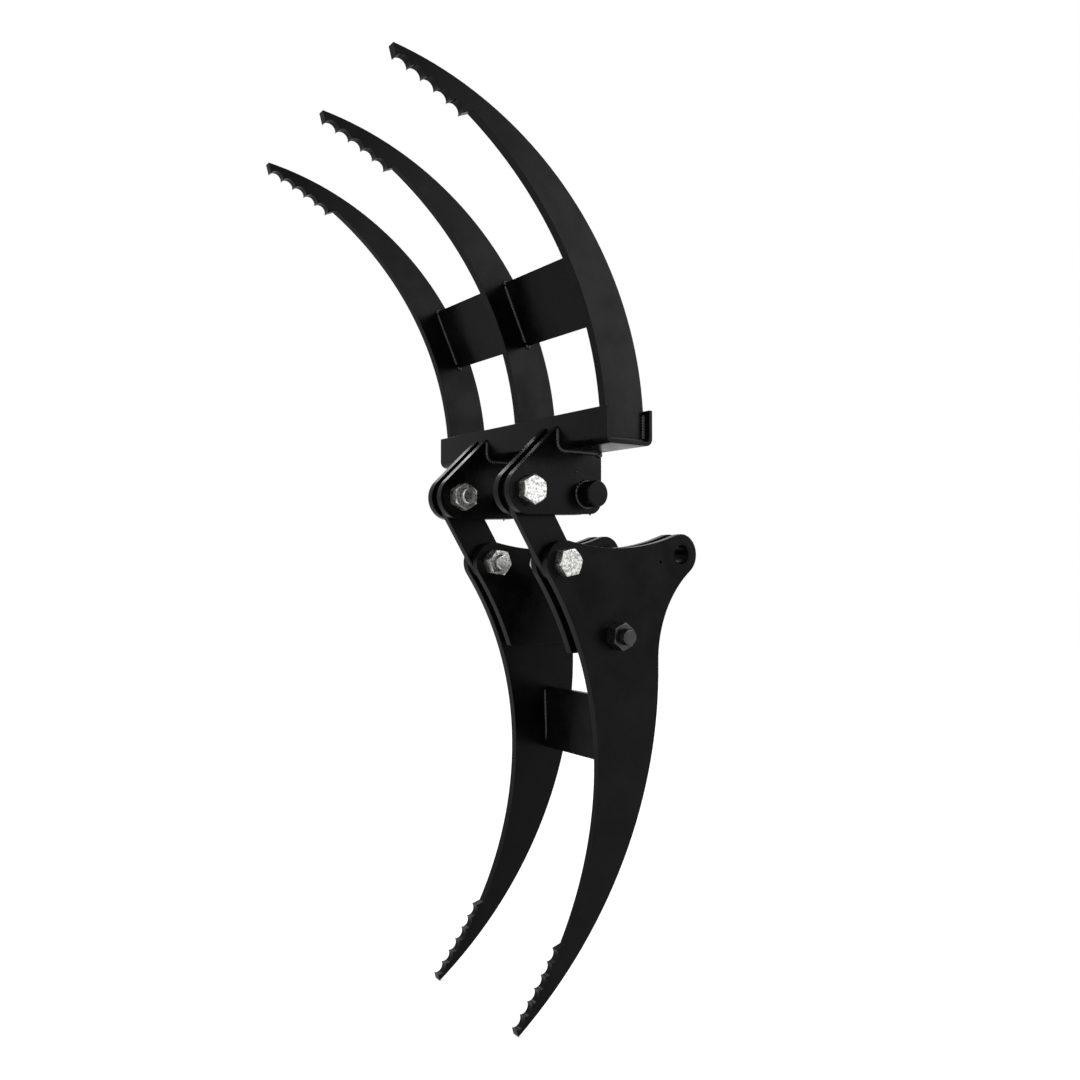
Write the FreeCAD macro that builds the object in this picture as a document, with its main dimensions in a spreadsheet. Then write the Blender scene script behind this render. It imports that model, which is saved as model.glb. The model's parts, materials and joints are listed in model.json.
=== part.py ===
import FreeCAD, Part
import math
import os
import Sketcher

# Log grapple: an upper jaw with three serrated tines and a lower jaw with two, joined by two flat
# links. X runs from the jaw mouth to the machine, Y across the tines, Z up. The origin is the
# middle of the lower jaw's rear bore, where the machine's dipper pin goes through.
# All lengths are in millimetres and all angles in degrees.

SIZES = {
    # plates, and the slots between them that the links swing in
    "plate": 8,
    "link_plate": 8,
    "slot_gap": 10,
    "slot_offset": 60,
    # lower jaw: the front pivot seen from the rear bore
    "jaw_ear_radius": 21,
    "front_pivot_x": -151,
    "front_pivot_z": -8,
    "bush_outer_radius": 12,
    "bush_bore_radius": 10,
    "bush_seat_clearance": 0.05,
    "top_bridge_radius": 250,
    "waist_radius": 110,
    "cheek_bottom_z": -95,
    "lock_hole_x": -29.5,
    "lock_hole_z": -7.6,
    "lock_hole_radius": 1.5,
    "lower_front_centre_x": -431,
    "lower_front_centre_z": -203.5,
    "lower_back_centre_x": -404.8,
    "lower_back_centre_z": -115.1,
    "lower_back_radius": 372,
    "lower_shoulder_angle": -29.3,
    "lower_first_tooth_angle": -30.5,
    "lower_tooth_step": -2.265,
    "lower_tooth_count": 7,
    "lower_tooth_stand": 7,
    "lower_tip_angle": -57.3,
    "scallop_radius": 6.5,
    "lower_cross_x": -69.5,
    "lower_cross_top_z": -144,
    "lower_cross_height": 65.5,
    "lower_cross_lean": -2,
    # links
    "link_length": 77.5,
    "link_lean": 121.8,
    "link_end_radius": 19,
    "pivot_clearance": 0.1,
    # upper jaw: the main pin seen from the upper pivot, and the rest seen from the main pin
    "main_pin_from_pivot_x": 66.5,
    "main_pin_from_pivot_z": -1.5,
    "main_pin_radius": 12.5,
    "main_pin_overhang": 17,
    "main_pin_chamfer": 1.2,
    "main_pin_neck_width": 1.2,
    "main_pin_neck_depth": 0.5,
    "upper_tine_pitch": 131,
    "upper_front_centre_x": -322.4,
    "upper_front_centre_z": 45.4,
    "upper_front_radius": 294,
    "upper_back_centre_x": -259,
    "upper_back_centre_z": 52.5,
    "upper_back_radius": 275,
    "upper_shoulder_angle": 58,
    "upper_last_tooth_angle": 59.1,
    "upper_tooth_step": 2.58,
    "upper_tooth_count": 6,
    "upper_tooth_stand": 8.7,
    "upper_tip_angle": 85.4,
    "tine_foot_chamfer": 3,
    "upper_cross_x": -47.8,
    "upper_cross_top_z": 209.7,
    "upper_cross_height": 65,
    "upper_cross_lean": 25,
    "channel_front_x": -34.3,
    "channel_bottom_z": 40,
    "channel_width": 54.5,
    "channel_height": 32.5,
    "channel_wall": 4,
    "channel_bend_radius": 7,
    "channel_overhang": 7,
    "lug_ear_radius": 22.5,
    "lug_apex_z": 62.5,
    "lug_rear_x": 18.2,
    "lug_bottom_z": -18,
    "lug_corner_radius": 13,
    "notch_radius": 5,
    # M16 bolts and nuts
    "bolt_radius": 8,
    "bolt_hole_radius": 8.25,
    "hex_across_flats": 24,
    "head_height": 10,
    "nut_height": 13,
    "thread_clearance": 0.1,
    "pivot_bolt_length": 45,
    "stop_bolt_length": 30,
    "stop_bolt_x": -89,
    "stop_bolt_z": -79,
    "hex_bevel_angle": 25,
    "bolt_end_chamfer": 1.5,
    "upper_head_turn": 90,
    "lower_head_turn": 50,
    "stop_head_turn": 82,
}

doc = FreeCAD.newDocument("log_grapple")
sheet = doc.addObject("Spreadsheet::Sheet", "sizes")
for row, (alias, value) in enumerate(SIZES.items(), start=1):
    sheet.set(f"A{row}", alias)
    sheet.set(f"B{row}", str(value))
    sheet.setAlias(f"B{row}", alias)
doc.recompute()

SIDES = (("near", -1), ("far", 1))
nodes = []


def size(alias):
    return float(sheet.get(alias))


# ---------------------------------------------------------------- plane geometry, points as (x, z)

def polar(centre, radius, angle):
    turn = math.radians(angle)
    return centre[0] + radius * math.cos(turn), centre[1] + radius * math.sin(turn)


def distance(p, q):
    return math.hypot(q[0] - p[0], q[1] - p[1])


def towards(p, q, length):
    """The point at a distance from p on the way to q."""
    share = length / distance(p, q)
    return p[0] + share * (q[0] - p[0]), p[1] + share * (q[1] - p[1])


def meet(c1, r1, c2, r2, side):
    """Where two circles cross; side 1 is left of the way from c1 to c2, and -1 right of it."""
    gap = distance(c1, c2)
    along = (r1 * r1 - r2 * r2 + gap * gap) / (2 * gap)
    across = side * math.sqrt(r1 * r1 - along * along)
    ux, uz = (c2[0] - c1[0]) / gap, (c2[1] - c1[1]) / gap
    return c1[0] + along * ux - across * uz, c1[1] + along * uz + across * ux


def tangent_from(p, centre, radius, side):
    """Where a line from p touches a circle; side 1 is left of the way from p to the centre."""
    reach = math.sqrt(distance(p, centre) ** 2 - radius * radius)
    return meet(p, reach, centre, radius, side)


def at_height(centre, radius, z, side=1):
    """The point of a circle at a height, on its right (1) or its left (-1)."""
    return centre[0] + side * math.sqrt(radius * radius - (z - centre[1]) ** 2), z


class Outline:
    """A closed outline of lines and arcs, drawn into a sketch on the XZ plane."""

    def __init__(self, start):
        self.start = start
        self.here = start
        self.edges = []

    def line(self, point):
        p = FreeCAD.Vector(*self.here, 0)
        q = FreeCAD.Vector(*point, 0)
        self.edges.append((Part.LineSegment(p, q), 1, 2))
        self.here = point

    def arc(self, centre, point, ccw):
        first, last = (self.here, point) if ccw else (point, self.here)
        angles = [math.atan2(p[1] - centre[1], p[0] - centre[0]) for p in (first, last)]
        if angles[1] <= angles[0]:
            angles[1] += 2 * math.pi
        radius = distance(centre, self.here)
        circle = Part.Circle(FreeCAD.Vector(*centre, 0), FreeCAD.Vector(0, 0, 1), radius)
        start, end = (1, 2) if ccw else (2, 1)
        self.edges.append((Part.ArcOfCircle(circle, *angles), start, end))
        self.here = point

    def round_corner(self, corner, beyond, radius):
        """A line to a corner that is rounded off on the way to the point beyond it."""
        to_start = math.atan2(self.here[1] - corner[1], self.here[0] - corner[0])
        to_end = math.atan2(beyond[1] - corner[1], beyond[0] - corner[0])
        turn = math.remainder(to_end - to_start, 2 * math.pi)
        back = radius / math.tan(abs(turn) / 2)
        middle = to_start + turn / 2
        reach = radius / math.sin(abs(turn) / 2)
        centre = (corner[0] + reach * math.cos(middle), corner[1] + reach * math.sin(middle))
        self.line(towards(corner, self.here, back))
        self.arc(centre, towards(corner, beyond, back), turn < 0)

    def close(self):
        self.line(self.start)

    def draw(self, sketch):
        for geometry, _, _ in self.edges:
            sketch.addGeometry(geometry, False)
        count = len(self.edges)
        for i, (_, _, end) in enumerate(self.edges):
            start = self.edges[(i + 1) % count][1]
            joint = Sketcher.Constraint("Coincident", i, end, (i + 1) % count, start)
            sketch.addConstraint(joint)
        for i in range(count):
            sketch.addConstraint(Sketcher.Constraint("Block", i))


def scallops(outline, centre, radius, first_angle, step, count):
    """Round bites between cusps that stand evenly on a circle, starting at the first cusp."""
    for i in range(1, count):
        cusp = polar(centre, radius, first_angle + i * step)
        chord = distance(outline.here, cusp)
        middle = ((outline.here[0] + cusp[0]) / 2, (outline.here[1] + cusp[1]) / 2)
        bite = size("scallop_radius")
        bite_centre = towards(middle, centre, math.sqrt(bite * bite - chord * chord / 4))
        outline.arc(bite_centre, cusp, step > 0)


# ---------------------------------------------------------------- features

def new_sketch(body, name):
    sketch = body.newObject("Sketcher::SketchObject", name)
    plane = [f for f in body.Origin.OriginFeatures if f.Role == "XZ_Plane"][0]
    sketch.AttachmentSupport = (plane, "")
    sketch.MapMode = "FlatFace"
    return sketch


def plate_body(label, outline, thickness, middle_y):
    """A flat plate: an outline padded evenly to both sides of its middle plane."""
    body = doc.addObject("PartDesign::Body", label)
    body.Label = label
    sketch = new_sketch(body, label + "_outline")
    outline.draw(sketch)
    pad = body.newObject("PartDesign::Pad", label + "_pad")
    pad.Profile = sketch
    pad.SideType = "Symmetric"
    pad.setExpression("Length", thickness)
    body.setExpression("Placement.Base.y", middle_y)
    nodes.append(body)
    return body


def drill(body, name, centre, radius):
    """A round hole right through a plate."""
    doc.recompute()
    before = body.Shape.Volume
    sketch = new_sketch(body, f"{body.Name}_{name}_circle")
    point = FreeCAD.Vector(*centre, 0)
    sketch.addGeometry(Part.Circle(point, FreeCAD.Vector(0, 0, 1), size(radius)), False)
    sketch.addConstraint(Sketcher.Constraint("DistanceX", -1, 1, 0, 3, centre[0]))
    sketch.addConstraint(Sketcher.Constraint("DistanceY", -1, 1, 0, 3, centre[1]))
    sketch.addConstraint(Sketcher.Constraint("Radius", 0, size(radius)))
    sketch.renameConstraint(2, "radius")
    sketch.setExpression("Constraints.radius", f"sizes.{radius}")
    pocket = body.newObject("PartDesign::Pocket", f"{body.Name}_{name}")
    pocket.Profile = sketch
    pocket.Type = "ThroughAll"
    pocket.SideType = "Symmetric"
    doc.recompute()
    if body.Shape.Volume >= before:
        raise ValueError(f"{name} cuts nothing from {body.Label}")


def primitive(kind, name, **bindings):
    solid = doc.addObject(kind, name)
    for field, formula in bindings.items():
        solid.setExpression(field, formula)
    return solid


def turned(side):
    """The turn that lays a solid made along Z across the jaws, pointing inwards from a side."""
    return FreeCAD.Rotation(FreeCAD.Vector(1, 0, 0), 90 * side)


def set_across(solid, side, x, y, z):
    solid.Placement = FreeCAD.Placement(FreeCAD.Vector(), turned(side))
    for axis, formula in zip("xyz", (x, y, z)):
        solid.setExpression(f"Placement.Base.{axis}", formula)


def hexagon(name, height, turn, bevels):
    """A hexagonal prism from Z = 0 up, its corners bevelled at the ends that bevels names."""
    prism = primitive("Part::Prism", name + "_prism", Height=height,
                      Circumradius="sizes.hex_across_flats / 2 / cos(30)")
    prism.Polygon = 6
    spin = FreeCAD.Rotation(FreeCAD.Vector(0, 0, 1), turn)
    prism.Placement = FreeCAD.Placement(FreeCAD.Vector(), spin)
    pieces = [prism]
    rim = "sizes.hex_across_flats / 2 * 0.97"
    wide = f"{rim} + {height} / tan(sizes.hex_bevel_angle)"
    for end in bevels:
        radii = (rim, wide) if end == "bottom" else (wide, rim)
        pieces.append(primitive("Part::Cone", f"{name}_{end}_bevel", Height=height,
                                Radius1=radii[0], Radius2=radii[1]))
    hexagonal = doc.addObject("Part::MultiCommon", name + "_hexagon")
    hexagonal.Shapes = pieces
    return hexagonal


def hex_bolt(label, length, turn):
    """A bolt whose head sits on Z = 0 from below and whose shank points up."""
    head = hexagon(label, "sizes.head_height", turn, ("bottom",))
    head.setExpression("Placement.Base.z", "-sizes.head_height")
    shank = primitive("Part::Cylinder", label + "_shank", Radius="sizes.bolt_radius",
                      Height=f"{length} - sizes.bolt_end_chamfer")
    tip = primitive("Part::Cone", label + "_end", Height="sizes.bolt_end_chamfer",
                    Radius1="sizes.bolt_radius",
                    Radius2="sizes.bolt_radius - sizes.bolt_end_chamfer")
    tip.setExpression("Placement.Base.z", f"{length} - sizes.bolt_end_chamfer")
    bolt = doc.addObject("Part::MultiFuse", label)
    bolt.Shapes = [head, shank, tip]
    bolt.Label = label
    nodes.append(bolt)
    return bolt


def hex_nut(label, turn):
    """A nut from Z = 0 up, bevelled at both ends."""
    blank = hexagon(label, "sizes.nut_height", turn, ("bottom", "top"))
    bore = primitive("Part::Cylinder", label + "_bore", Height="sizes.nut_height",
                     Radius="sizes.bolt_radius + sizes.thread_clearance")
    nut = doc.addObject("Part::Cut", label)
    nut.Base = blank
    nut.Tool = bore
    nut.Label = label
    nodes.append(nut)
    return nut


# ---------------------------------------------------------------- where things are

REAR_BORE = (0.0, 0.0)
LOWER_PIVOT = (size("front_pivot_x"), size("front_pivot_z"))
UPPER_PIVOT = polar(LOWER_PIVOT, size("link_length"), size("link_lean"))
MAIN_PIN = (UPPER_PIVOT[0] + size("main_pin_from_pivot_x"),
            UPPER_PIVOT[1] + size("main_pin_from_pivot_z"))
STOP_BOLT = (size("stop_bolt_x"), size("stop_bolt_z"))

LOWER_X = "sizes.front_pivot_x"
LOWER_Z = "sizes.front_pivot_z"
UPPER_X = "sizes.front_pivot_x + sizes.link_length * cos(sizes.link_lean)"
UPPER_Z = "sizes.front_pivot_z + sizes.link_length * sin(sizes.link_lean)"
MAIN_X = UPPER_X + " + sizes.main_pin_from_pivot_x"
MAIN_Z = UPPER_Z + " + sizes.main_pin_from_pivot_z"

SLOT_MIDDLE = "sizes.slot_offset"
PLATE_STEP = "(sizes.slot_gap + sizes.plate) / 2"
OUTER_PLATE = f"({SLOT_MIDDLE} + {PLATE_STEP})"
INNER_PLATE = f"({SLOT_MIDDLE} - {PLATE_STEP})"
OUTER_FACE = f"({SLOT_MIDDLE} + sizes.slot_gap / 2 + sizes.plate)"
INNER_FACE = f"({SLOT_MIDDLE} - sizes.slot_gap / 2 - sizes.plate)"
SLOT_OUTER_WALL = f"({SLOT_MIDDLE} + sizes.slot_gap / 2)"


def from_main_pin(x_name, z_name):
    return MAIN_PIN[0] + size(x_name), MAIN_PIN[1] + size(z_name)


# ---------------------------------------------------------------- lower jaw

LOWER_FRONT = (size("lower_front_centre_x"), size("lower_front_centre_z"))
LOWER_FRONT_RADIUS = distance(LOWER_FRONT, LOWER_PIVOT) - size("jaw_ear_radius")
LOWER_BACK = (size("lower_back_centre_x"), size("lower_back_centre_z"))


def head_outline(outline, waist_end=None):
    """From the front ear's foot over both ears and down the waist arc, all of it or to a height."""
    ear = size("jaw_ear_radius")
    bridge = size("top_bridge_radius")
    waist = size("waist_radius")
    top = meet(LOWER_PIVOT, bridge + ear, REAR_BORE, bridge + ear, 1)
    outline.arc(LOWER_PIVOT, towards(LOWER_PIVOT, top, ear), False)
    outline.arc(top, towards(REAR_BORE, top, ear), True)
    back = size("lower_back_radius")
    waist_centre = meet(LOWER_BACK, back + waist, REAR_BORE, ear + waist, -1)
    outline.arc(REAR_BORE, towards(REAR_BORE, waist_centre, ear), False)
    end = towards(waist_centre, LOWER_BACK, waist)
    if waist_end is not None and waist_end > end[1]:
        end = at_height(waist_centre, waist, waist_end, -1)
    outline.arc(waist_centre, end, True)


def lower_tine_outline():
    foot = towards(LOWER_PIVOT, LOWER_FRONT, size("jaw_ear_radius"))
    outline = Outline(foot)
    head_outline(outline)
    tip = polar(LOWER_BACK, size("lower_back_radius"), size("lower_tip_angle"))
    outline.arc(LOWER_BACK, tip, False)
    cusps = LOWER_FRONT_RADIUS - size("lower_tooth_stand")
    first = size("lower_first_tooth_angle")
    step = size("lower_tooth_step")
    count = int(size("lower_tooth_count"))
    last = first + (count - 1) * step
    outline.line(polar(LOWER_FRONT, cusps, last))
    scallops(outline, LOWER_FRONT, cusps, last, -step, count)
    outline.line(polar(LOWER_FRONT, LOWER_FRONT_RADIUS, size("lower_shoulder_angle")))
    outline.arc(LOWER_FRONT, foot, True)
    return outline


def cheek_outline():
    foot = towards(LOWER_PIVOT, LOWER_FRONT, size("jaw_ear_radius"))
    outline = Outline(foot)
    bottom = size("cheek_bottom_z")
    head_outline(outline, bottom)
    if outline.here[1] > bottom:
        outline.arc(LOWER_BACK, at_height(LOWER_BACK, size("lower_back_radius"), bottom), False)
    outline.line(at_height(LOWER_FRONT, LOWER_FRONT_RADIUS, bottom))
    outline.arc(LOWER_FRONT, foot, True)
    return outline


def cross_plate_outline(top, lean, height):
    """The edge-on rectangle of a cross plate, from its front top corner."""
    down = math.radians(lean - 90)
    along = (math.cos(down), math.sin(down))
    behind = (-along[1], along[0])
    thick = size("plate")
    bottom = (top[0] + height * along[0], top[1] + height * along[1])
    outline = Outline(top)
    outline.line((top[0] + thick * behind[0], top[1] + thick * behind[1]))
    outline.line((bottom[0] + thick * behind[0], bottom[1] + thick * behind[1]))
    outline.line(bottom)
    outline.close()
    return outline


for side_name, side in SIDES:
    tine = plate_body(f"lower_tine_{side_name}", lower_tine_outline(), "sizes.plate",
                      f"{side} * {OUTER_PLATE}")
    cheek = plate_body(f"lower_cheek_{side_name}", cheek_outline(), "sizes.plate",
                       f"{side} * {INNER_PLATE}")
    for plate in (tine, cheek):
        drill(plate, "pivot_hole", LOWER_PIVOT, "bolt_hole_radius")
        drill(plate, "bush_hole", REAR_BORE, "bush_outer_radius")
    drill(tine, "stop_bolt_hole", STOP_BOLT, "bolt_hole_radius")
    drill(tine, "lock_hole", (size("lock_hole_x"), size("lock_hole_z")), "lock_hole_radius")

cross_top = (size("lower_cross_x"), size("lower_cross_top_z"))
plate_body("lower_cross_plate",
           cross_plate_outline(cross_top, size("lower_cross_lean"), size("lower_cross_height")),
           f"2 * {SLOT_OUTER_WALL}", "0")

for side_name, side in SIDES:
    tube = primitive("Part::Cylinder", f"bush_tube_{side_name}",
                     Radius="sizes.bush_outer_radius - sizes.bush_seat_clearance",
                     Height="sizes.slot_gap + 2 * sizes.plate")
    bore = primitive("Part::Cylinder", f"bush_bore_{side_name}",
                     Radius="sizes.bush_bore_radius",
                     Height="sizes.slot_gap + 2 * sizes.plate")
    bush = doc.addObject("Part::Cut", f"rear_bush_{side_name}")
    bush.Base = tube
    bush.Tool = bore
    bush.Label = f"rear_bush_{side_name}"
    set_across(bush, side, "0", f"{side} * {OUTER_FACE}", "0")
    nodes.append(bush)

# ---------------------------------------------------------------- links


def link_outline():
    end = size("link_end_radius")
    lean = size("link_lean")
    outline = Outline(polar(LOWER_PIVOT, end, lean - 90))
    outline.line(polar(UPPER_PIVOT, end, lean - 90))
    outline.arc(UPPER_PIVOT, polar(UPPER_PIVOT, end, lean + 90), True)
    outline.line(polar(LOWER_PIVOT, end, lean + 90))
    outline.arc(LOWER_PIVOT, outline.start, True)
    return outline


sheet.set(f"A{len(SIZES) + 1}", "link_bore_radius")
sheet.set(f"B{len(SIZES) + 1}", str(size("bolt_radius") + size("pivot_clearance")))
sheet.setAlias(f"B{len(SIZES) + 1}", "link_bore_radius")
doc.recompute()
for side_name, side in SIDES:
    link = plate_body(f"link_{side_name}", link_outline(), "sizes.link_plate",
                      f"{side} * {SLOT_MIDDLE}")
    drill(link, "lower_bore", LOWER_PIVOT, "link_bore_radius")
    drill(link, "upper_bore", UPPER_PIVOT, "link_bore_radius")

# ---------------------------------------------------------------- upper jaw

UPPER_FRONT = from_main_pin("upper_front_centre_x", "upper_front_centre_z")
UPPER_BACK = from_main_pin("upper_back_centre_x", "upper_back_centre_z")
CHANNEL_CORNER = from_main_pin("channel_front_x", "channel_bottom_z")


def upper_tine_outline():
    foot_z = CHANNEL_CORNER[1] + size("channel_wall")
    chamfer = size("tine_foot_chamfer")
    foot_front = at_height(UPPER_FRONT, size("upper_front_radius"), foot_z + chamfer)
    foot_back = at_height(UPPER_BACK, size("upper_back_radius"), foot_z + chamfer)
    outline = Outline((foot_back[0] - chamfer, foot_z))
    outline.line(foot_back)
    tip = polar(UPPER_BACK, size("upper_back_radius"), size("upper_tip_angle"))
    outline.arc(UPPER_BACK, tip, True)
    cusps = size("upper_front_radius") - size("upper_tooth_stand")
    last = size("upper_last_tooth_angle")
    step = size("upper_tooth_step")
    count = int(size("upper_tooth_count"))
    first = last + (count - 1) * step
    outline.line(polar(UPPER_FRONT, cusps, first))
    scallops(outline, UPPER_FRONT, cusps, first, -step, count)
    outline.line(polar(UPPER_FRONT, size("upper_front_radius"), size("upper_shoulder_angle")))
    outline.arc(UPPER_FRONT, foot_front, False)
    outline.line((foot_front[0] + chamfer, foot_z))
    outline.close()
    return outline


def channel_outline():
    """The U section with its opening upwards and its two bends rounded inside and outside."""
    x, z = CHANNEL_CORNER
    right = x + size("channel_width")
    top = z + size("channel_height")
    wall = size("channel_wall")
    outer = size("channel_bend_radius")
    inner = outer - wall
    outline = Outline((x, top))
    outline.round_corner((x, z), (right, z), outer)
    outline.round_corner((right, z), (right, top), outer)
    outline.line((right, top))
    outline.line((right - wall, top))
    outline.round_corner((right - wall, z + wall), (x + wall, z + wall), inner)
    outline.round_corner((x + wall, z + wall), (x + wall, top), inner)
    outline.line((x + wall, top))
    outline.close()
    return outline


def lug_outline():
    """A plate from the front ear back to the main pin, notched round the channel's corner."""
    ear = size("lug_ear_radius")
    apex = (CHANNEL_CORNER[0], MAIN_PIN[1] + size("lug_apex_z"))
    corner = (MAIN_PIN[0] + size("lug_rear_x"), MAIN_PIN[1] + size("lug_bottom_z"))
    rear_top = (corner[0], CHANNEL_CORNER[1])
    outline = Outline(apex)
    outline.line(tangent_from(apex, UPPER_PIVOT, ear, -1))
    outline.arc(UPPER_PIVOT, tangent_from(corner, UPPER_PIVOT, ear, 1), True)
    outline.round_corner(corner, rear_top, size("lug_corner_radius"))
    outline.line(rear_top)
    outline.round_corner(CHANNEL_CORNER, apex, size("notch_radius"))
    outline.close()
    return outline


tine_places = {"near": "-sizes.upper_tine_pitch", "middle": "0", "far": "sizes.upper_tine_pitch"}
for place, middle_y in tine_places.items():
    plate_body(f"upper_tine_{place}", upper_tine_outline(), "sizes.plate", middle_y)

cross_top = from_main_pin("upper_cross_x", "upper_cross_top_z")
for side_name, side in SIDES:
    plate_body(f"upper_cross_plate_{side_name}",
               cross_plate_outline(cross_top, size("upper_cross_lean"),
                                   size("upper_cross_height")),
               "sizes.upper_tine_pitch - sizes.plate", f"{side} * sizes.upper_tine_pitch / 2")

plate_body("channel", channel_outline(),
           "2 * (sizes.upper_tine_pitch + sizes.plate / 2 + sizes.channel_overhang)", "0")

sheet.set(f"A{len(SIZES) + 2}", "main_pin_hole_radius")
sheet.set(f"B{len(SIZES) + 2}", str(size("main_pin_radius") + size("bush_seat_clearance")))
sheet.setAlias(f"B{len(SIZES) + 2}", "main_pin_hole_radius")
doc.recompute()
for side_name, side in SIDES:
    for place, middle_y in (("outer", OUTER_PLATE), ("inner", INNER_PLATE)):
        lug = plate_body(f"lug_{side_name}_{place}", lug_outline(), "sizes.plate",
                         f"{side} * {middle_y}")
        drill(lug, "pivot_hole", UPPER_PIVOT, "bolt_hole_radius")
        drill(lug, "main_pin_hole", MAIN_PIN, "main_pin_hole_radius")

PIN_HALF = f"({OUTER_FACE} + sizes.main_pin_overhang)"
pin_bar = primitive("Part::Cylinder", "main_pin_bar", Radius="sizes.main_pin_radius",
                    Height=f"2 * ({PIN_HALF} - sizes.main_pin_chamfer)")
pin_bar.setExpression("Placement.Base.z", "sizes.main_pin_chamfer")
pin_ends = []
for name, base, radii in (
        ("start", "0", ("sizes.main_pin_radius - sizes.main_pin_chamfer", "sizes.main_pin_radius")),
        ("stop", f"2 * {PIN_HALF} - sizes.main_pin_chamfer",
         ("sizes.main_pin_radius", "sizes.main_pin_radius - sizes.main_pin_chamfer"))):
    pin_end = primitive("Part::Cone", f"main_pin_{name}", Height="sizes.main_pin_chamfer",
                        Radius1=radii[0], Radius2=radii[1])
    pin_end.setExpression("Placement.Base.z", base)
    pin_ends.append(pin_end)
pin_blank = doc.addObject("Part::MultiFuse", "main_pin_blank")
pin_blank.Shapes = [pin_bar] + pin_ends
necks = []
for name, base in (("start", "sizes.main_pin_overhang - sizes.main_pin_neck_width"),
                   ("stop", f"2 * {PIN_HALF} - sizes.main_pin_overhang")):
    ring = primitive("Part::Cylinder", f"main_pin_{name}_ring",
                     Radius="sizes.main_pin_radius + 1", Height="sizes.main_pin_neck_width")
    core = primitive("Part::Cylinder", f"main_pin_{name}_core",
                     Radius="sizes.main_pin_radius - sizes.main_pin_neck_depth",
                     Height="sizes.main_pin_neck_width")
    neck = doc.addObject("Part::Cut", f"main_pin_{name}_neck")
    neck.Base = ring
    neck.Tool = core
    neck.setExpression("Placement.Base.z", base)
    necks.append(neck)
neck_pair = doc.addObject("Part::MultiFuse", "main_pin_necks")
neck_pair.Shapes = necks
main_pin = doc.addObject("Part::Cut", "main_pin")
main_pin.Base = pin_blank
main_pin.Tool = neck_pair
main_pin.Label = "main_pin"
set_across(main_pin, -1, MAIN_X, f"-{PIN_HALF}", MAIN_Z)
nodes.append(main_pin)

# ---------------------------------------------------------------- bolts and nuts

for side_name, side in SIDES:
    for jaw, x, z, turn in (("upper", UPPER_X, UPPER_Z, size("upper_head_turn")),
                            ("lower", LOWER_X, LOWER_Z, size("lower_head_turn"))):
        bolt = hex_bolt(f"{jaw}_pivot_bolt_{side_name}", "sizes.pivot_bolt_length", turn)
        set_across(bolt, side, x, f"{side} * {OUTER_FACE}", z)
        nut = hex_nut(f"{jaw}_pivot_nut_{side_name}", turn)
        set_across(nut, side, x, f"{side} * {INNER_FACE}", z)
    stop_x, stop_z = "sizes.stop_bolt_x", "sizes.stop_bolt_z"
    bolt = hex_bolt(f"stop_bolt_{side_name}", "sizes.stop_bolt_length", size("stop_head_turn"))
    set_across(bolt, -side, stop_x, f"{side} * {SLOT_OUTER_WALL}", stop_z)
    nut = hex_nut(f"stop_nut_{side_name}", size("stop_head_turn"))
    set_across(nut, -side, stop_x, f"{side} * {OUTER_FACE}", stop_z)

# ---------------------------------------------------------------- check and write

doc.recompute()
for thing in doc.Objects:
    if "Invalid" in thing.State or "Error" in thing.State:
        raise ValueError(f"{thing.Label} failed: {thing.State}")
os.makedirs("parts", exist_ok=True)
for node in nodes:
    shape = node.Shape
    if shape.isNull() or not shape.isValid() or len(shape.Solids) != 1:
        raise ValueError(f"{node.Label} is not one valid solid")
    shape.exportStep(f"parts/{node.Label}.step")
    box = shape.BoundBox
    print(f"{node.Label:28s} {shape.Volume / 1000:8.1f} cm3  "
          f"x {box.XMin:7.1f} {box.XMax:7.1f}  y {box.YMin:7.1f} {box.YMax:7.1f}  "
          f"z {box.ZMin:7.1f} {box.ZMax:7.1f}")
print(len(nodes), "nodes")
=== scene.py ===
# %% [markdown]
# # A log grapple, dressed and lit
# The real thing is a pair of steel jaws cut from 8 mm plate, bent, bolted and welded together, and
# sprayed black all over once it was finished. Only the four pivot bolts were fitted after the paint.
# The solids already hold every plate, pin and bolt in its place. What they lack is what a press, a
# welder and a spray gun leave behind, so that is what these cells add.

import json
import math
import bmesh
import bpy
from mathutils import Matrix, Vector, noise


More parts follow.
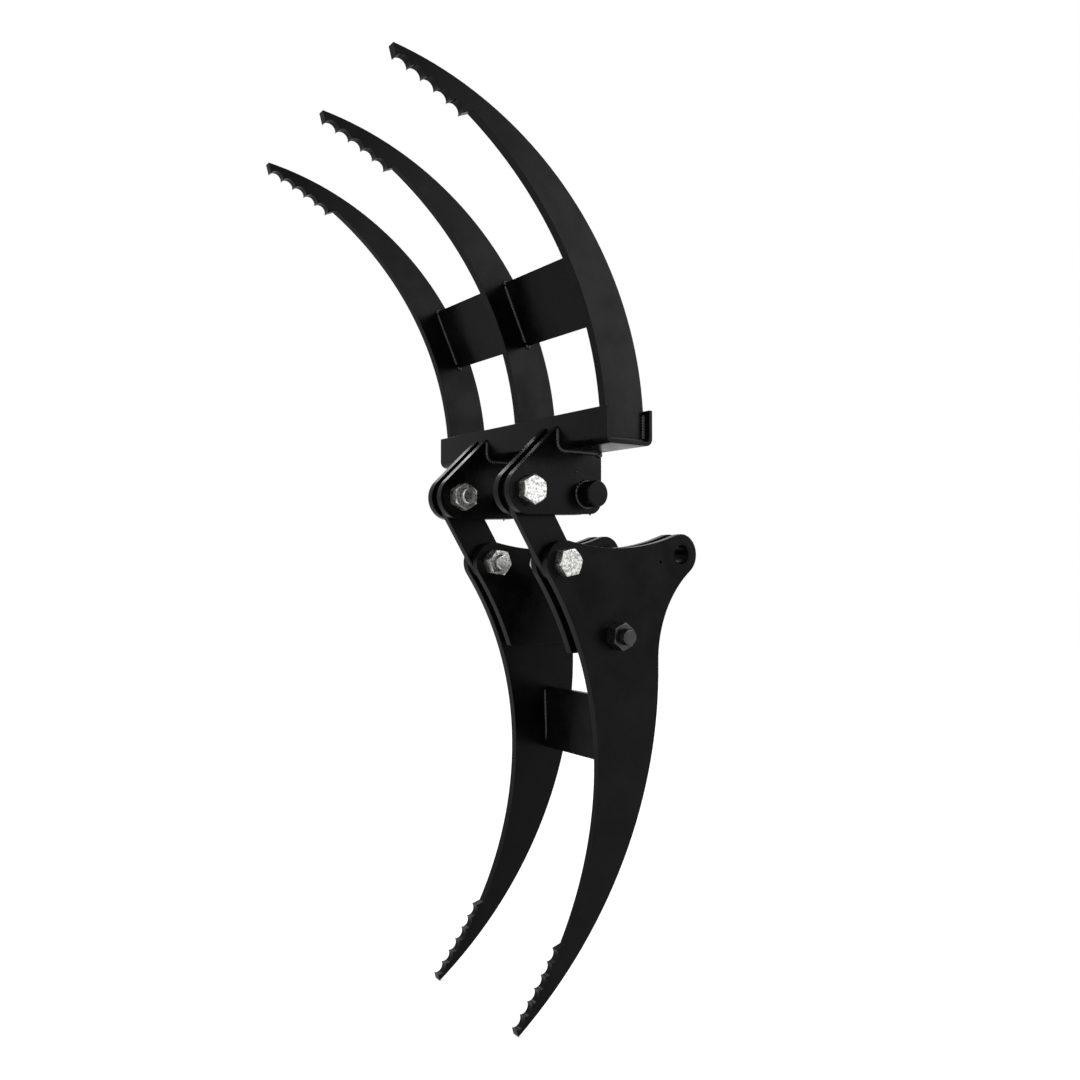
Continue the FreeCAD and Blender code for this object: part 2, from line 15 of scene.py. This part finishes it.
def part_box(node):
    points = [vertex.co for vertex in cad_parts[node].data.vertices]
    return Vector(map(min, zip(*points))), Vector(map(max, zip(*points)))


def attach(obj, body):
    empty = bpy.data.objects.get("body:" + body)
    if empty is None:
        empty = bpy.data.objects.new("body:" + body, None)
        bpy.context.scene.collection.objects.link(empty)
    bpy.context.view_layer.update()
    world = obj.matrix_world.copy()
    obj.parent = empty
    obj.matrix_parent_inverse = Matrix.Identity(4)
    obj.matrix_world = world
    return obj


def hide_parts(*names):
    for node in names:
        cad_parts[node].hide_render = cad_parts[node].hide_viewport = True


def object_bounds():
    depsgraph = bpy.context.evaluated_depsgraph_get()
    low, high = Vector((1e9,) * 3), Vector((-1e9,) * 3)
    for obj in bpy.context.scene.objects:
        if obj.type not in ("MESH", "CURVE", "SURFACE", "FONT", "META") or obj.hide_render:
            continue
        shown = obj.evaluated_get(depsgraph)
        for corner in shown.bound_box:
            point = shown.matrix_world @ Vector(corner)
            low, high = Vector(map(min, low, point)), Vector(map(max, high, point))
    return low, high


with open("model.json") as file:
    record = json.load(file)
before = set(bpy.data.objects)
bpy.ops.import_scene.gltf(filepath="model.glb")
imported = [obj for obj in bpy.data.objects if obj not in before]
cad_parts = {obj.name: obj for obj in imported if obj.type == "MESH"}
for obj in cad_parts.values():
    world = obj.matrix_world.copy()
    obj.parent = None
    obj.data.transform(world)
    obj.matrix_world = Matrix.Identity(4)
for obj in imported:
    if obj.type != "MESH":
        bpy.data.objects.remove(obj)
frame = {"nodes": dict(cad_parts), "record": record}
cad_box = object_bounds()
nodes = frame["nodes"]
node_body = {n: b for b, members in frame["record"]["behaviour"]["bodies"].items()
             for n in members}

# %% [markdown]
# ## Black paint
# Thick black gloss that was sprayed quickly: it hides the steel, lies in a fine orange peel and dries
# a little duller in patches. A near black base with a low specular level keeps it deep. One noise
# texture makes the duller patches and a much finer one, as a bump, breaks the reflections up.


# %% A helper for node trees, and the paint
def new_material(name):
    material = bpy.data.materials.new(name)
    material.use_nodes = True
    tree = material.node_tree
    return material, tree, tree.nodes["Principled BSDF"]


def add_noise(tree, scale, detail, roughness=0.5):
    coordinates = tree.nodes.new("ShaderNodeTexCoord")
    texture = tree.nodes.new("ShaderNodeTexNoise")
    texture.inputs["Scale"].default_value = scale
    texture.inputs["Detail"].default_value = detail
    texture.inputs["Roughness"].default_value = roughness
    tree.links.new(coordinates.outputs["Object"], texture.inputs["Vector"])
    return texture.outputs["Fac"]


def remap(tree, value, low, high, to_low, to_high):
    node = tree.nodes.new("ShaderNodeMapRange")
    for name, number in (("From Min", low), ("From Max", high),
                         ("To Min", to_low), ("To Max", to_high)):
        node.inputs[name].default_value = number
    tree.links.new(value, node.inputs["Value"])
    return node.outputs["Result"]


def two_colours(tree, factor, first, second):
    node = tree.nodes.new("ShaderNodeMix")
    node.data_type = "RGBA"
    node.inputs[6].default_value = (*first, 1)
    node.inputs[7].default_value = (*second, 1)
    tree.links.new(factor, node.inputs["Factor"])
    return node.outputs[2]


def add_bump(tree, shader, height, distance, strength):
    node = tree.nodes.new("ShaderNodeBump")
    node.inputs["Distance"].default_value = distance
    node.inputs["Strength"].default_value = strength
    tree.links.new(height, node.inputs["Height"])
    tree.links.new(node.outputs["Normal"], shader.inputs["Normal"])
    return node


def black_paint(name, patches, peel, specular, shades, roughness):
    """Sprayed black: patches is the size of the dull areas and peel the size of the orange peel."""
    material, tree, shader = new_material(name)
    shader.inputs["Specular IOR Level"].default_value = specular
    cloud = remap(tree, add_noise(tree, 1 / patches, 5, 0.6), 0.35, 0.68, 0, 1)
    tree.links.new(two_colours(tree, cloud, *shades), shader.inputs["Base Color"])
    tree.links.new(remap(tree, cloud, 0, 1, *roughness), shader.inputs["Roughness"])
    add_bump(tree, shader, add_noise(tree, 1 / peel, 3), 0.0004, 0.1)
    return material


PAINT = black_paint("black_paint", 0.035, 0.0016, 0.065,
                    ((0.0016, 0.0016, 0.0017), (0.0048, 0.0048, 0.005)), (0.22, 0.4))
WELD_PAINT = black_paint("painted_weld", 0.006, 0.0012, 0.4,
                         ((0.004, 0.004, 0.0042), (0.012, 0.012, 0.012)), (0.16, 0.32))
OXIDE = black_paint("black_oxide", 0.004, 0.0007, 0.5,
                    ((0.003, 0.003, 0.003), (0.014, 0.014, 0.013)), (0.2, 0.36))
print("black finishes:", PAINT.name, WELD_PAINT.name, OXIDE.name)

# %% [markdown]
# ## Zinc plate
# The pivot bolts are zinc plated steel: a bright, slightly milky metal with darker specks where it
# has been handled. It is fully metallic, with a soft roughness, and two noises darken it in spots.

# %% Zinc
ZINC, tree, shader = new_material("zinc_plate")
shader.inputs["Metallic"].default_value = 1
specks = remap(tree, add_noise(tree, 420, 6, 0.7), 0.4, 0.58, 0, 1)
tree.links.new(two_colours(tree, specks, (0.2, 0.195, 0.185), (0.66, 0.66, 0.64)),
               shader.inputs["Base Color"])
tree.links.new(remap(tree, add_noise(tree, 160, 4), 0.3, 0.7, 0.24, 0.46),
               shader.inputs["Roughness"])
add_bump(tree, shader, add_noise(tree, 900, 4), 0.0003, 0.15)
FINISHES = {"black_paint": PAINT, "zinc_plate": ZINC, "black_bolt": OXIDE}
for entry in frame["record"]["subparts"]:
    nodes[entry["node"]].data.materials.clear()
    nodes[entry["node"]].data.materials.append(FINISHES[entry["material_slot"]])
print("finishes:", sorted(FINISHES))

# %% [markdown]
# ## Plates with eased edges
# A laser leaves crisp edges, and the first coats of paint round them by about half a millimetre. That
# tiny round is what catches the light along every real plate, so it matters more than its size
# suggests. Each plate's solid is copied, its loose triangles are merged, its flat faces are joined
# and only its sharp edges are bevelled.


# %% Copy a solid with its sharp edges eased
def make_piece(bm, name, body, material):
    """Turns a finished bmesh into an object that rides on a body."""
    mesh = bpy.data.meshes.new(name)
    bm.to_mesh(mesh)
    bm.free()
    mesh.materials.append(material)
    piece = bpy.data.objects.new(name, mesh)
    bpy.context.scene.collection.objects.link(piece)
    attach(piece, body)
    return piece


def merged_copy(node):
    bm = bmesh.new()
    bm.from_mesh(nodes[node].data)
    bmesh.ops.remove_doubles(bm, verts=bm.verts, dist=1e-6)
    bmesh.ops.dissolve_limit(bm, angle_limit=math.radians(0.3), verts=bm.verts, edges=bm.edges)
    return bm


def ease(bm, width, steps=2, limit=38):
    sharp = [e for e in bm.edges
             if len(e.link_faces) == 2 and e.calc_face_angle() > math.radians(limit)]
    result = bmesh.ops.bevel(bm, geom=sharp, offset=width, offset_type="OFFSET", segments=steps,
                             profile=0.5, affect="EDGES", clamp_overlap=True, material=-1)
    for face in bm.faces:
        face.smooth = True
    return len(result["faces"])


def smooth_flats(piece):
    """Weighted normals keep the flat faces flat and let only the eased edges turn."""
    modifier = piece.modifiers.new("flat_faces", "WEIGHTED_NORMAL")
    modifier.keep_sharp = True
    modifier.weight = 100


def eased(node, width, slot):
    bm = merged_copy(node)
    count = ease(bm, width)
    piece = make_piece(bm, node + "_eased", node_body[node], FINISHES[slot])
    smooth_flats(piece)
    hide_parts(node)
    print(node, count, "bevel faces")


slot_of = {e["node"]: e["material_slot"] for e in frame["record"]["subparts"]}
EASED_WIDTHS = {"rear_bush": 0.0008, "stop_nut": 0.0004, "lower_pivot_nut": 0.0004,
                "upper_pivot_nut": 0.0004, "main_pin": 0.0003}
for node in nodes:
    if "bolt" in node:
        continue
    width = next((w for key, w in EASED_WIDTHS.items() if node.startswith(key)), 0.00055)
    eased(node, width, slot_of[node])

# %% [markdown]
# ## Bolts with real threads
# Every bolt shows its head on one side and a threaded end past its nut on the other. The head of the
# solid is right as it is, so a copy keeps it and is cut off with a plane inside the nut. The thread is
# a stack of rings that are wide and narrow in turn, bridged into one surface: at this size it reads
# as a thread, and it is far lighter than a helix.

# %% Threads
THREAD_PITCH = 0.002
THREAD_DEPTH = 0.0009
BOLT_RADIUS = 0.008


def ring(bm, centre, axis, radius, segments):
    """A ring of edges round an axis; returns its edges."""
    turn = Vector((0, 0, 1)).rotation_difference(axis).to_matrix().to_4x4()
    made = bmesh.ops.create_circle(bm, cap_ends=False, segments=segments, radius=radius,
                                   matrix=Matrix.Translation(centre) @ turn)
    return list({e for v in made["verts"] for e in v.link_edges})


def close_end(bm, edges):
    bmesh.ops.holes_fill(bm, edges=edges)


def bolt_with_thread(node, cut, end):
    """cut and end are the y where the copied shank stops and where the thread stops."""
    low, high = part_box(node)
    centre = (low + high) / 2
    axis = Vector((0, math.copysign(1, end - cut), 0))
    bm = merged_copy(node)
    bmesh.ops.bisect_plane(bm, geom=bm.verts[:] + bm.edges[:] + bm.faces[:], dist=1e-7,
                           plane_co=(0, cut, 0), plane_no=axis, clear_outer=True)
    close_end(bm, [e for e in bm.edges if e.is_boundary])
    ease(bm, 0.0004)
    rings = []
    turns = int(abs(end - cut) / THREAD_PITCH)
    for i in range(turns * 2 + 1):
        place = Vector((centre.x, cut, centre.z)) + axis * (i * THREAD_PITCH / 2)
        radius = BOLT_RADIUS - (THREAD_DEPTH if i % 2 else 0.0001)
        rings.append(ring(bm, place, axis, radius, 32))
    tip = Vector((centre.x, end, centre.z))
    rings.append(ring(bm, tip, axis, BOLT_RADIUS - 0.0015, 32))
    bmesh.ops.bridge_loops(bm, edges=[e for r in rings for e in r])
    close_end(bm, rings[0])
    close_end(bm, rings[-1])
    bmesh.ops.recalc_face_normals(bm, faces=bm.faces)
    for face in bm.faces:
        face.smooth = True
    piece = make_piece(bm, node + "_threaded", node_body[node],
                       FINISHES[slot_of[node]])
    smooth_flats(piece)
    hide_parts(node)
    return turns


for node in sorted(nodes):
    if "bolt" in node:
        low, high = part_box(node)
        if "stop" in node:
            cut, end = (-0.075, low.y) if "near" in node else (0.075, high.y)
        else:
            cut, end = (-0.045, high.y) if "near" in node else (0.045, low.y)
        print(node, bolt_with_thread(node, cut, end), "thread turns")

# %% [markdown]
# ## Weld beads
# Plates that meet at a corner are welded by hand, in a row of small overlapping puddles, and the paint
# goes over them. A bead follows a path, and at each step along it a ring of edges is placed whose size
# rises and falls once a puddle. Bridging the rings gives the rippled rope that a real bead is. Half of
# it is buried in the corner, which is what makes it look fused.


# %% The bead maker
def along(points, step):
    """Places and directions every step along straight runs between points."""
    places = []
    for a, b in zip(points, points[1:]):
        run = b - a
        count = max(1, round(run.length / step))
        places += [(a + run * (i / count), run.normalized()) for i in range(count)]
    places.append((points[-1], (points[-1] - points[-2]).normalized()))
    return places


def weld(bm, points, radius, puddle=0.0026, segments=9):
    rings = []
    places = along([Vector(p) for p in points], puddle / 4)
    for i, (place, direction) in enumerate(places):
        ripple = 1 + 0.13 * math.cos(i * math.pi / 2)
        wander = 1 + 0.22 * noise.noise(place * 160)
        fade = min(1, 0.55 + 0.15 * min(i, len(places) - 1 - i))
        rings.append(ring(bm, place, direction, radius * ripple * wander * fade, segments))
    bmesh.ops.bridge_loops(bm, edges=[e for r in rings for e in r])
    close_end(bm, rings[0])
    close_end(bm, rings[-1])


def blob(bm, place, radius):
    bmesh.ops.create_icosphere(bm, subdivisions=2, radius=radius,
                               matrix=Matrix.Translation(place))


def finish_welds(bm, name, body):
    bmesh.ops.recalc_face_normals(bm, faces=bm.faces)
    for face in bm.faces:
        face.smooth = True
    count = len(bm.faces)
    make_piece(bm, name, body, WELD_PAINT)
    print(name, count, "faces")


# %% [markdown]
# ## Where the lugs meet the channel
# Each lug hugs the channel: down its front flange, round the bend and back under the web. The weld
# runs along that whole line on the open side of each lug, so its path is a straight, a quarter round
# and a straight.

# %% Lug welds
channel_low, channel_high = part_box("channel")
BEND = 0.007
WALL = 0.004
LUG_BEAD = 0.0026


def lug_seam(y, top_z, rear_x):
    front, under = channel_low.x, channel_low.z
    bend_centre = Vector((front + BEND, y, under + BEND))
    path = [Vector((front, y, top_z)), Vector((front, y, under + BEND))]
    for i in range(1, 6):
        angle = math.radians(180 + i * 15)
        path.append(bend_centre + BEND * Vector((math.cos(angle), 0, math.sin(angle))))
    path.append(Vector((front + BEND, y, under)))
    path.append(Vector((rear_x, y, under)))
    return path


bm = bmesh.new()
for lug in ("lug_near_outer", "lug_near_inner", "lug_far_inner", "lug_far_outer"):
    low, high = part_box(lug)
    y = low.y if lug in ("lug_near_outer", "lug_far_inner") else high.y
    weld(bm, lug_seam(y, high.z - 0.003, high.x - 0.004), LUG_BEAD)
    blob(bm, Vector((high.x - 0.003, y, channel_low.z - 0.0015)), 0.0035)
finish_welds(bm, "lug_welds", "upper_jaw")

# %% [markdown]
# ## Where the tines stand in the channel
# A tine's foot drops into the channel and is welded to the web on both sides and to both flanges.

# %% Tine welds
WEB_BEAD = 0.0029
BACK_BEAD = 0.0024
FRONT_BEAD = 0.002
web_top = channel_low.z + WALL
bm = bmesh.new()
for tine in ("upper_tine_near", "upper_tine_middle", "upper_tine_far"):
    low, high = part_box(tine)
    for y in (low.y, high.y):
        front, back = channel_low.x + WALL + 0.001, channel_high.x - WALL - 0.001
        weld(bm, [(front + 0.002, y, web_top), (back - 0.001, y, web_top)], WEB_BEAD)
        weld(bm, [(back, y, web_top + 0.001), (back, y, channel_high.z - 0.004)], BACK_BEAD)
        weld(bm, [(front, y, web_top + 0.001), (front, y, channel_high.z - 0.006)],
             FRONT_BEAD)
    blob(bm, Vector((channel_high.x - 0.005, (low.y + high.y) / 2, channel_high.z - 0.0015)),
         0.0034)
finish_welds(bm, "tine_foot_welds", "upper_jaw")

# %% [markdown]
# ## Where the cross plates meet the tines
# The stiffeners between the tines are welded along their ends, front and back. The beads are short of
# the plate's corners by a puddle, and on the upper plates a lump sits at the left and bottom corners,
# where the welder stopped.


# %% Cross plate welds
UPPER_BEAD = 0.0023
LOWER_BEAD = 0.0022
LOWER_LEAN = 0.0023


def plate_corners(node):
    """The four corners of a leaning cross plate, seen from its side."""
    corners = [v.co for v in nodes[node].data.vertices]
    top = max(corners, key=lambda c: c.z)
    bottom = min(corners, key=lambda c: c.z)
    left = min(corners, key=lambda c: (round(c.x, 5), -c.z))
    right = max(corners, key=lambda c: (round(c.x, 5), c.z))
    return top, bottom, left, right


bm = bmesh.new()
for node in ("upper_cross_plate_near", "upper_cross_plate_far"):
    low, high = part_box(node)
    top, bottom, left, right = plate_corners(node)
    for y in (low.y, high.y):
        for a, b in ((left, bottom), (top, right)):
            start, stop = Vector((a.x, y, a.z)), Vector((b.x, y, b.z))
            run = (stop - start).normalized() * 0.003
            weld(bm, [start + run, stop - run], UPPER_BEAD)
        for corner in (left, bottom):
            blob(bm, Vector((corner.x + 0.001, y, corner.z)), 0.003)
finish_welds(bm, "upper_cross_plate_welds", "upper_jaw")
bm = bmesh.new()
low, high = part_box("lower_cross_plate")
for y in (low.y, high.y):
    for x_top, x_bottom in ((low.x, low.x + LOWER_LEAN), (high.x - LOWER_LEAN, high.x)):
        weld(bm, [(x_top, y, high.z - 0.003), (x_bottom, y, low.z + 0.003)], LOWER_BEAD)
finish_welds(bm, "lower_cross_plate_welds", "lower_jaw")

# %% [markdown]
# ## The collars round the main pin
# The main pin is welded into the outer lugs with a small round bead. Its path is a circle, so the
# same bead maker does it with a closed line of points.

# %% Pin collars and spatter
COLLAR_BEAD = 0.0016
SPATTER = ((-0.02, 0.019, 0.0009), (-0.013, 0.021, 0.0013), (0.004, -0.019, 0.0009),
           (0.012, 0.02, 0.0008))
pin_low, pin_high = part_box("main_pin")
pin_x, pin_z = (pin_low.x + pin_high.x) / 2, (pin_low.z + pin_high.z) / 2
pin_radius = (pin_high.x - pin_low.x) / 2
bm = bmesh.new()
for side, lug in ((-1, "lug_near_outer"), (1, "lug_far_outer")):
    low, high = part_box(lug)
    face_y = low.y if side < 0 else high.y
    circle = [Vector((pin_x + pin_radius * math.cos(t), face_y, pin_z + pin_radius * math.sin(t)))
              for t in (math.radians(10 * i) for i in range(37))]
    weld(bm, circle, COLLAR_BEAD)
    for dx, dz, size in SPATTER:
        blob(bm, Vector((pin_x + dx, face_y, pin_z + dz)), size)
finish_welds(bm, "pin_collars", "upper_jaw")

# %% [markdown]
# ## Floor, light and camera
# A pale floor and a white surround, with one broad soft lamp on the right that the plates' sides
# mirror, a weaker one on the left that draws their edges, and one behind that parts the far plates
# from each other.


# %% Floor
def brightest(tree, outputs):
    """A chain of nodes that gives the largest of several outputs."""
    total = outputs[0]
    for output in outputs[1:]:
        join = tree.nodes.new("ShaderNodeMath")
        join.operation = "MAXIMUM"
        tree.links.new(total, join.inputs[0])
        tree.links.new(output, join.inputs[1])
        total = join.outputs[0]
    return total


FLOOR_GLOW = 0.62
low, high = cad_box
floor_z = min(low[2], high[2]) - 0.001
bpy.ops.mesh.primitive_plane_add(size=14, location=(0, 0, floor_z))
floor = bpy.context.object
floor.name = "floor"
FLOOR, tree, shader = new_material("floor_white")
shader.inputs["Base Color"].default_value = (0.8, 0.8, 0.8, 1)
shader.inputs["Roughness"].default_value = 0.9
shader.inputs["Specular IOR Level"].default_value = 0.1
glow = tree.nodes.new("ShaderNodeEmission")
path = tree.nodes.new("ShaderNodeLightPath")
seen = brightest(tree, [path.outputs[kind] for kind in ("Is Camera Ray", "Is Glossy Ray")])
level = tree.nodes.new("ShaderNodeMath")
level.operation = "MULTIPLY"
level.inputs[1].default_value = FLOOR_GLOW
tree.links.new(seen, level.inputs[0])
tree.links.new(level.outputs[0], glow.inputs["Strength"])
both = tree.nodes.new("ShaderNodeAddShader")
tree.links.new(shader.outputs[0], both.inputs[0])
tree.links.new(glow.outputs[0], both.inputs[1])
tree.links.new(both.outputs[0], tree.nodes["Material Output"].inputs["Surface"])
floor.data.materials.append(FLOOR)
print("floor at", round(floor_z, 4))

# %% World
WORLD_LIGHT = 0.45
WORLD_WHITE = 1.0
world = bpy.data.worlds.new("white_surround")
bpy.context.scene.world = world
world.use_nodes = True
tree = world.node_tree
background = tree.nodes["Background"]
background.inputs["Color"].default_value = (1, 1, 1, 1)
path = tree.nodes.new("ShaderNodeLightPath")
seen = brightest(tree, [path.outputs[kind] for kind in
                        ("Is Camera Ray", "Is Glossy Ray", "Is Transmission Ray")])
strength = remap(tree, seen, 0, 1, WORLD_LIGHT, WORLD_WHITE)
tree.links.new(strength, background.inputs["Strength"])
print("world:", world.name)



# %% Lamps
def soft_lamp(name, place, aim, width, height, power):
    data = bpy.data.lights.new(name, "AREA")
    data.shape = "RECTANGLE"
    data.size, data.size_y = width, height
    data.energy = power
    lamp = bpy.data.objects.new(name, data)
    bpy.context.scene.collection.objects.link(lamp)
    lamp.location = place
    lamp.rotation_euler = (Vector(aim) - Vector(place)).to_track_quat("-Z", "Y").to_euler()
    print(name, power, "W")


middle = Vector(((low[0] + high[0]) / 2, 0, (low[2] + high[2]) / 2))
soft_lamp("right_lamp", middle + Vector((1.5, -1.9, 0.9)), middle, 1.2, 1.2, 16)
soft_lamp("left_lamp", middle + Vector((-2.0, -0.7, 1.3)), middle, 0.5, 1.2, 10)
soft_lamp("back_lamp", middle + Vector((0.6, 2.0, 1.6)), middle, 1.4, 0.7, 16)

# %% Camera
CAMERA_PLACE = (-0.6813, -0.7556, -0.007)
CAMERA_RIGHT = (0.8061, -0.5917, 0)
CAMERA_FORWARD = (0.5916, 0.8059, 0.023)
data = bpy.data.cameras.new("camera")
data.sensor_width = 36
data.lens = 31
camera = bpy.data.objects.new("camera", data)
bpy.context.scene.collection.objects.link(camera)
right = Vector(CAMERA_RIGHT).normalized()
forward = Vector(CAMERA_FORWARD).normalized()
up = right.cross(forward).normalized()
right = forward.cross(up)
turn = Matrix((right, up, -forward)).transposed().to_4x4()
camera.matrix_world = Matrix.Translation(CAMERA_PLACE) @ turn
bpy.context.scene.camera = camera
bpy.context.scene.view_settings.view_transform = "Standard"
print("camera lens", data.lens, "mm")
